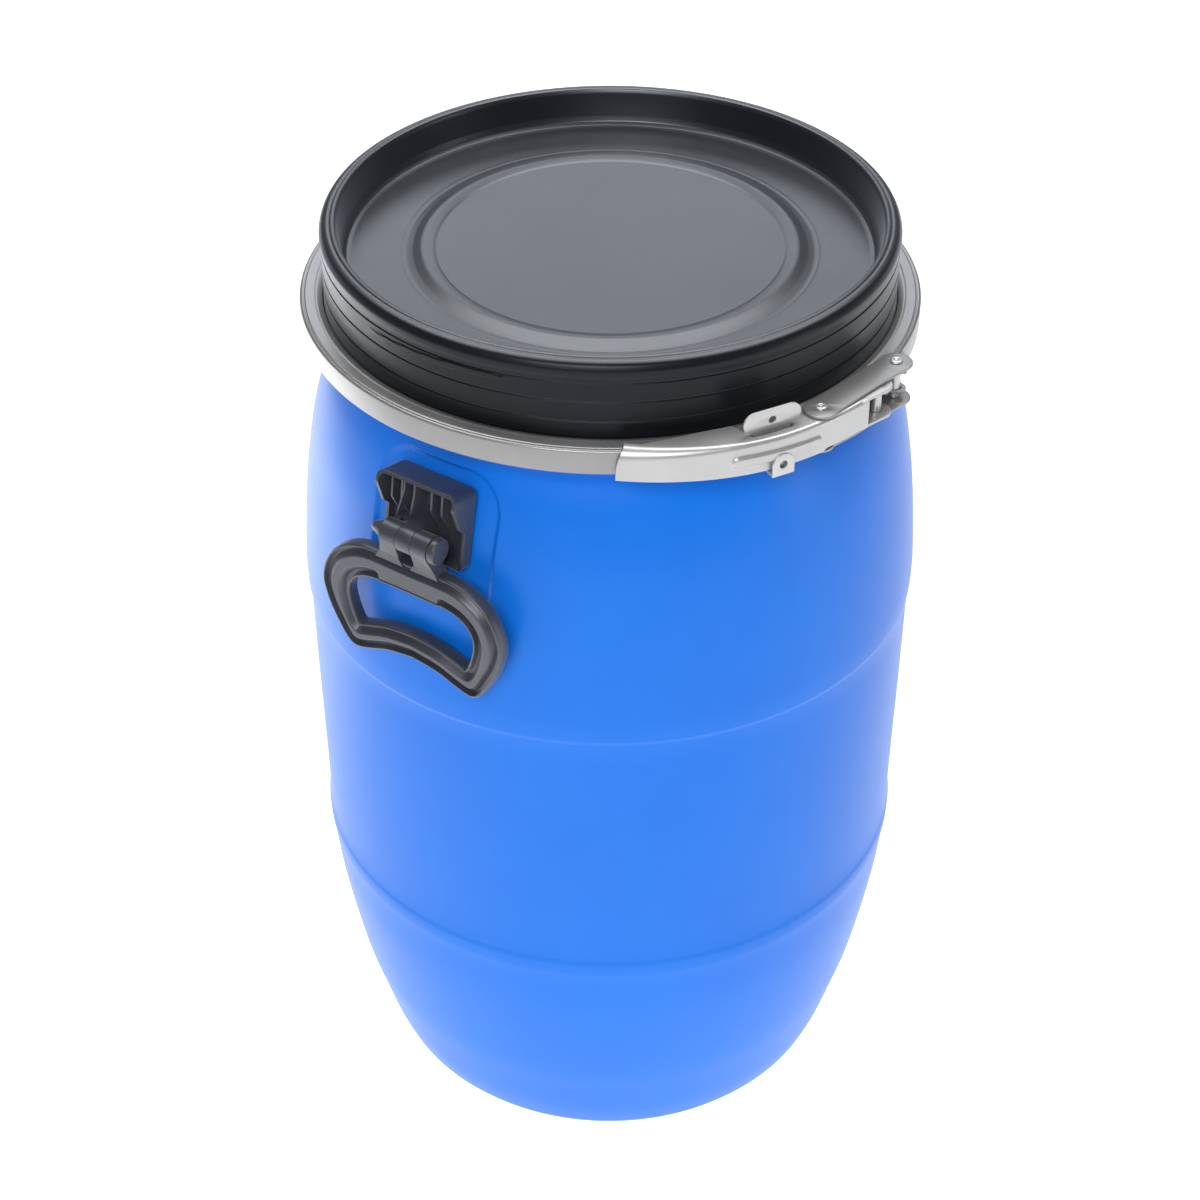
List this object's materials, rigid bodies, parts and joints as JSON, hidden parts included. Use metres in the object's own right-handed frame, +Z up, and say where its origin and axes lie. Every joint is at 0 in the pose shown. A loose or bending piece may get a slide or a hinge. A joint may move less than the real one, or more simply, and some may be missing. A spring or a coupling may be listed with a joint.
{
  "type": "open head drum",
  "caption": "Barrel-shaped blue plastic open head drum with a recessed black lid, a galvanised lever-lock clamp ring and swinging carrying handles.",
  "frame": {"origin": "centre of the base, on the face the drum stands on", "axes": "+Z up along the drum's axis; -Y is the front, the lever closure is at the front right (+X)"},
  "size_m": [0.3928, 0.417, 0.6298],
  "materials": {
    "body_plastic": "satin moulded polyethylene",
    "lid_plastic": "smooth moulded, soft gloss",
    "handle_plastic": "fine moulded grain",
    "seal_rubber": "matt",
    "band_steel": "galvanised sheet, rolled",
    "bright_steel": "bright zinc plated"
  },
  "bodies": {
    "drum": {"body_shell": "body_plastic", "handle_bracket_left": "handle_plastic", "handle_bracket_right": "handle_plastic"},
    "lid": {"lid": "lid_plastic", "lid_gasket": "seal_rubber"},
    "band_left": {"band_left": "band_steel", "fulcrum_bracket": "band_steel", "fulcrum_pin": "bright_steel", "seal_tab": "bright_steel"},
    "band_right": {"band_right": "band_steel", "pull_bracket": "band_steel", "link_pin": "bright_steel"},
    "lever": {"lever": "band_steel", "seal_lug": "bright_steel"},
    "link": {"link_top": "band_steel", "link_bottom": "band_steel", "lever_rivet": "bright_steel", "link_pin_head": "bright_steel", "link_pin_foot": "bright_steel"},
    "grip_left": {"grip_left": "handle_plastic", "hinge_pin_left": "handle_plastic"},
    "grip_right": {"grip_right": "handle_plastic", "hinge_pin_right": "handle_plastic"}
  },
  "joints": [
    {"name": "lid_lift", "type": "slide", "parent": "drum", "child": "lid", "axis": [0, 0, 1], "range_m": [0, 0.25]},
    {"name": "band_left_flex", "type": "hinge", "parent": "drum", "child": "band_left", "pos_m": [-0.15982, 0.10182, 0.5744], "axis": [0, 0, 1], "range_deg": [-4.7, 0], "deforming": ["band_left", "band_right"]},
    {"name": "band_right_flex", "type": "hinge", "parent": "band_left", "child": "band_right", "pos_m": [-0.15982, 0.10182, 0.5744], "axis": [0, 0, 1], "range_deg": [0, 9.4]},
    {"name": "lever_swing", "type": "hinge", "parent": "band_left", "child": "lever", "pos_m": [0.15552, -0.11698, 0.5743], "axis": [0, 0, 1], "range_deg": [0, 150]},
    {"name": "link_turn", "type": "hinge", "parent": "lever", "child": "link", "pos_m": [0.12241, -0.14661, 0.5743], "axis": [0, 0, 1], "range_deg": [-105.5, 0]},
    {"name": "grip_left_swing", "type": "hinge", "parent": "drum", "child": "grip_left", "pos_m": [-0.10993, -0.16767, 0.5055], "axis": [-0.8363, 0.5483, 0], "range_deg": [0, 150]},
    {"name": "grip_right_swing", "type": "hinge", "parent": "drum", "child": "grip_right", "pos_m": [0.10993, 0.16767, 0.5055], "axis": [0.8363, -0.5483, 0], "range_deg": [0, 150]}
  ],
  "couplings": [
    {"joint": "link_turn", "follows": "lever_swing", "ratio": -0.70093},
    {"joint": "band_left_flex", "follows": "lever_swing", "ratio": -0.03115},
    {"joint": "band_right_flex", "follows": "lever_swing", "ratio": 0.0623}
  ]
}
